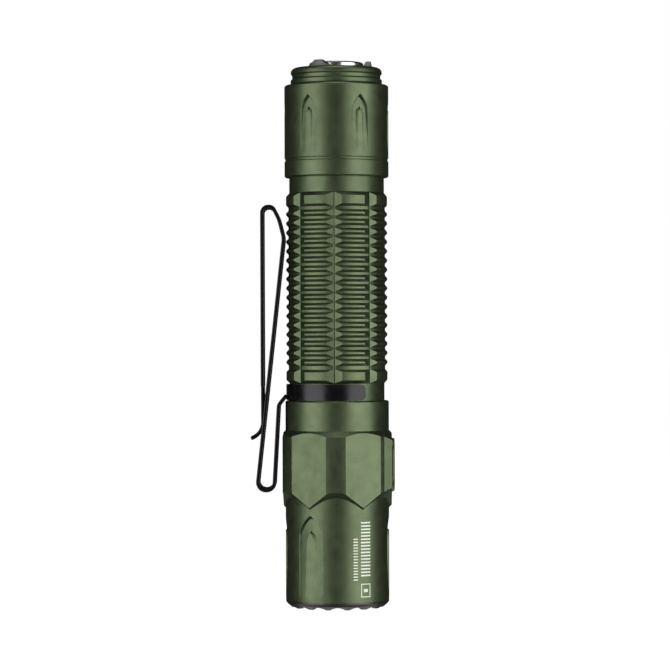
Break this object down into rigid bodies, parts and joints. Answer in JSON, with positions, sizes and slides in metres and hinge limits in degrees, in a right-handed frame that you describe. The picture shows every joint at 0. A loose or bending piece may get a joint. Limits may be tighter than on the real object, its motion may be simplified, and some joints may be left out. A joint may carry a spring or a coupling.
{
  "type": "tactical flashlight",
  "caption": "Single-cell tactical flashlight: ribbed olive tube, faceted head with wave-toothed bezel and side switch, lobed tail switch, two-way pocket clip.",
  "frame": {"origin": "on the torch axis, at the plane of the bezel's teeth, where the light leaves", "axes": "+Z along the torch axis from the bezel to the tail switch; +X to the side switch; -X to the pocket clip"},
  "size_m": [0.0369, 0.0294, 0.139],
  "materials": {
    "black_anodised": "hard-anodised, satin black",
    "black_rubber": "matte",
    "clear_lens": "clear moulded optic, polished",
    "white_plastic": "matte",
    "led_phosphor": "yellow phosphor on white ceramic",
    "white_board": "white solder mask on copper",
    "dark_glass": "dark window",
    "olive_anodised": "hard-anodised, fine matte olive",
    "olive_button": "hard-anodised, satin olive",
    "light_guide": "frosted light guide",
    "green_board": "green solder mask",
    "black_plastic": "matte",
    "brass": "turned",
    "gold_spring": "gold-plated spring wire",
    "bare_steel": "nickel-plated",
    "cell_can": null,
    "black_wrap": "shrink film",
    "satin_nickel": "satin, bead-blasted",
    "satin_nickel_contact": "polished",
    "black_spring_steel": "black-coated, satin"
  },
  "bodies": {
    "root": {"bezel_ring": "black_anodised", "lens_gasket": "black_rubber", "tir_lens": "clear_lens", "led_spacer": "white_plastic", "led_emitter": "led_phosphor", "led_board": "white_board", "proximity_sensor": "dark_glass", "head_shell": "olive_anodised", "driver_board": "green_board", "driver_components": "black_plastic", "driver_retaining_ring": "brass", "head_contact_plate": "brass", "head_contact_spring": "gold_spring", "side_switch_rim": "black_rubber", "side_switch_seal": "black_rubber", "side_tact_switch": "black_plastic", "side_switch_board": "green_board", "body_tube": "olive_anodised", "head_oring": "black_rubber", "tail_oring": "black_rubber"},
    "battery": {"battery_can": "cell_can", "battery_wrap": "black_wrap", "battery_insulator": "white_plastic", "battery_terminal": "bare_steel"},
    "tail_cap": {"tailcap_shell": "olive_anodised", "tail_contact_ring": "brass", "tail_retaining_ring": "brass", "tail_board": "green_board", "tail_tact_switch": "black_plastic", "tail_spring": "gold_spring", "switch_seal": "black_rubber", "switch_return_spring": "gold_spring"},
    "tail_switch": {"switch_cap": "satin_nickel", "contact_insulator": "black_plastic", "charge_contact": "satin_nickel_contact", "tail_magnet": "bare_steel", "switch_plunger": "black_plastic"},
    "side_button": {"side_switch_button": "olive_button", "side_switch_light": "light_guide"},
    "clip": {"clip_base": "black_spring_steel"},
    "clip_spring_arm": {"clip_arm": "black_spring_steel"}
  },
  "joints": [
    {"name": "battery_rise", "type": "slide", "parent": "root", "child": "battery", "axis": [0, 0, 1], "range_m": [0, 0.004], "deforming": ["head_contact_spring"]},
    {"name": "tailcap_turn", "type": "hinge", "parent": "battery", "child": "tail_cap", "pos_m": [0, 0, 0.12], "axis": [0, 0, 1], "range_deg": [0, 1440]},
    {"name": "tail_switch_press", "type": "slide", "parent": "tail_cap", "child": "tail_switch", "axis": [0, 0, -1], "range_m": [0, 0.0013], "stiffness_N_per_m": 2500, "springref_m": -0.0008, "deforming": ["switch_return_spring"]},
    {"name": "side_switch_press", "type": "slide", "parent": "root", "child": "side_button", "axis": [-1, 0, 0], "range_m": [0, 0.0005], "stiffness_N_per_m": 3000, "springref_m": -0.0005},
    {"name": "clip_swivel", "type": "hinge", "parent": "root", "child": "clip", "pos_m": [0, 0, 0.0548], "axis": [0, 0, 1], "range_deg": [-125, 125]},
    {"name": "clip_flex", "type": "hinge", "parent": "clip", "child": "clip_spring_arm", "pos_m": [-0.01803, 0, 0.032], "axis": [0, -1, 0], "range_deg": [0, 4], "stiffness_Nm_per_rad": 20, "springref_deg": -0.57}
  ],
  "couplings": [
    {"joint": "tailcap_turn", "follows": "battery_rise", "rad_per_m": 6283.2}
  ]
}
